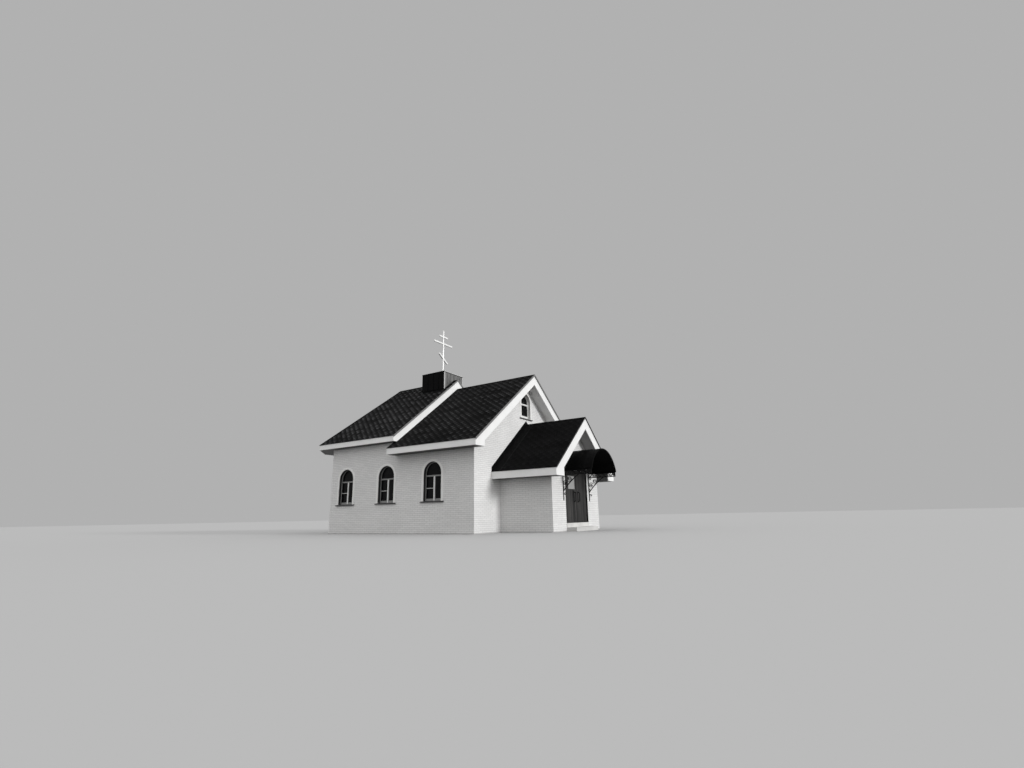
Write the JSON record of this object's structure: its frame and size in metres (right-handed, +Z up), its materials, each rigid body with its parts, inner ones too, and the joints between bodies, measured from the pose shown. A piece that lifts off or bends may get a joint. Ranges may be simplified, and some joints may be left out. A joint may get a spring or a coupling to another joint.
{
  "type": "small chapel",
  "caption": "Small brick chapel with a raised rear part, a three-sided apse, a gabled porch with double doors under an arched iron canopy, and a cross on a ridge box.",
  "frame": {"origin": "on the ground, under the middle of the whole chapel", "axes": "+X to the right of someone who faces the doors, +Y from the porch to the apse, +Z up"},
  "size_m": [8.794, 13.43, 10.062],
  "materials": {
    "brick": "light facing brick in 75 mm courses",
    "white_board": "white cladding board",
    "concrete": "cast concrete",
    "shingle": "dark bitumen shingles",
    "dark_sheet": "dark sheet metal",
    "sill_sheet": "dark bent sheet metal",
    "window_white": "white window frame",
    "surround_render": "smooth pale render",
    "glass": "dark clear glass",
    "door_wood": "dark stained planks",
    "wrought_iron": "black painted wrought iron",
    "lamp_white": "opal glass",
    "cross_metal": "pale metal tube"
  },
  "bodies": {
    "chapel": {"nave_floor": "concrete", "left_front_wall": "brick", "right_front_wall": "brick", "left_raised_wall": "brick", "right_raised_wall": "brick", "apse_wall": "brick", "front_wall_left": "brick", "front_wall_right": "brick", "front_gable": "brick", "raised_gable": "white_board", "porch_floor": "concrete", "porch_left_wall": "brick", "porch_right_wall": "brick", "porch_front_left": "brick", "porch_front_right": "brick", "porch_gable": "brick", "front_roof_left": "shingle", "front_roof_right": "shingle", "raised_roof_left": "shingle", "raised_roof_right": "shingle", "apse_roof": "shingle", "porch_roof_left": "shingle", "porch_roof_right": "shingle", "porch_flashing": "dark_sheet", "bargeboards": "white_board", "eave_boards": "white_board", "eave_soffits": "white_board", "window_frames": "window_white", "window_panes": "glass", "window_surrounds": "surround_render", "window_sills": "sill_sheet", "door_frame": "door_wood", "threshold": "concrete", "entrance_step": "concrete", "door_hinges": "wrought_iron", "porch_lamp": "lamp_white", "canopy_shell": "wrought_iron", "canopy_frame": "wrought_iron", "left_bracket": "wrought_iron", "right_bracket": "wrought_iron", "ridge_box": "dark_sheet", "ridge_box_cap": "dark_sheet", "cross": "cross_metal"},
    "left_leaf": {"left_door": "door_wood", "left_fittings": "wrought_iron"},
    "right_leaf": {"right_door": "door_wood", "right_fittings": "wrought_iron"}
  },
  "joints": [
    {"name": "left_door_hinge", "type": "hinge", "parent": "chapel", "child": "left_leaf", "pos_m": [-0.941, -5.41, 0.31], "axis": [0, 0, -1], "range_deg": [0, 90]},
    {"name": "right_door_hinge", "type": "hinge", "parent": "chapel", "child": "right_leaf", "pos_m": [0.941, -5.41, 0.31], "axis": [0, 0, 1], "range_deg": [0, 90]}
  ]
}
